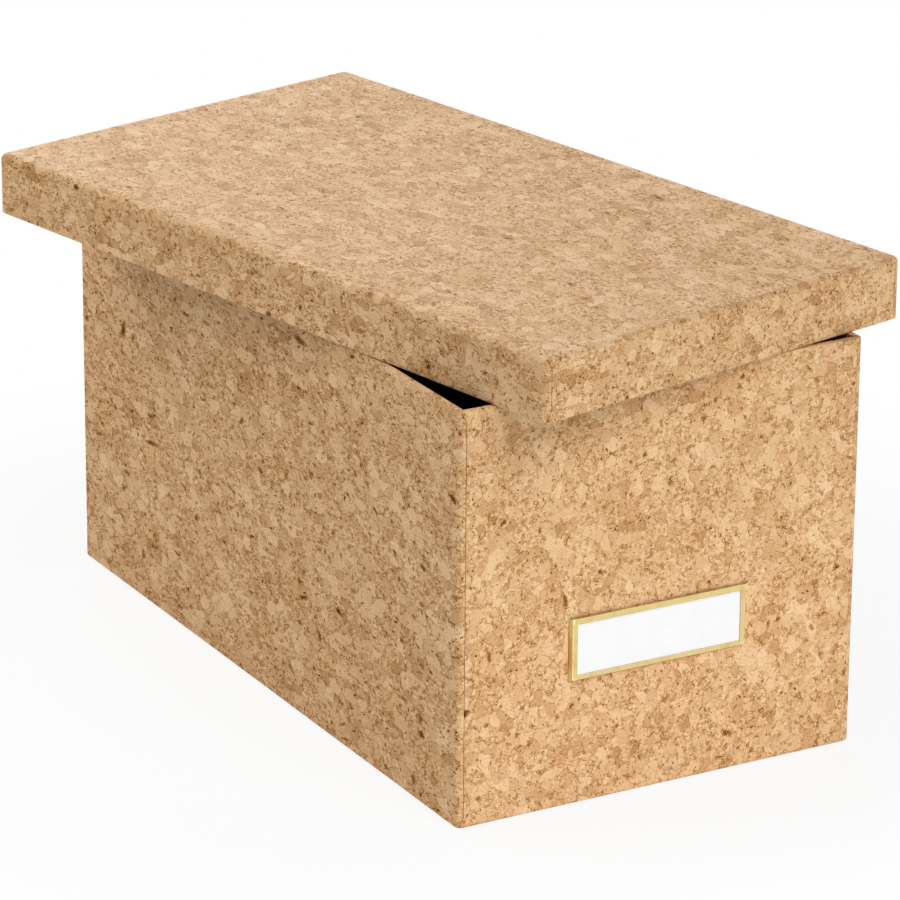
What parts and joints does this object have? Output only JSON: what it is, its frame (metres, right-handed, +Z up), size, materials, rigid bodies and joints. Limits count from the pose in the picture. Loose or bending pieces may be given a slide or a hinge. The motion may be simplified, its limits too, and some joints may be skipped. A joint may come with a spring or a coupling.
{
  "type": "storage box",
  "caption": "Rectangular cork-covered paperboard box with a lift-off lid lying askew on its rim and a metal label holder with a blank card on the front",
  "frame": {"origin": "centre of the underside, on the surface that the box stands on", "axes": "+X across the front, to the right as seen from the front; +Y from the front to the back; +Z up"},
  "size_m": [0.2214, 0.3208, 0.1728],
  "materials": {
    "greyboard": "matte",
    "stay_paper": "matte",
    "cork": "matte",
    "black_paper": "matte",
    "label_metal": "polished",
    "card": "matte"
  },
  "bodies": {
    "tray": {"base_bottom_board": "greyboard", "base_front_board": "greyboard", "base_back_board": "greyboard", "base_left_board": "greyboard", "base_right_board": "greyboard", "base_corner_stays": "stay_paper", "base_front_cork": "cork", "base_back_cork": "cork", "base_left_cork": "cork", "base_right_cork": "cork", "base_underside_sheet": "black_paper", "base_floor_lining": "black_paper", "base_wall_lining": "black_paper", "label_frame": "label_metal"},
    "card": {"label_card": "card"},
    "lid": {"lid_top_board": "greyboard", "lid_front_board": "greyboard", "lid_back_board": "greyboard", "lid_left_board": "greyboard", "lid_right_board": "greyboard", "lid_corner_stays": "stay_paper", "lid_cork_cover": "cork", "lid_top_lining": "black_paper", "lid_wall_lining": "black_paper"}
  },
  "joints": [
    {"name": "lid_lift", "type": "slide", "parent": "tray", "child": "lid", "axis": [0, 0, 1], "range_m": [0, 0.15]},
    {"name": "card_slide", "type": "slide", "parent": "tray", "child": "card", "axis": [0, 0, 1], "range_m": [0, 0.024]}
  ]
}
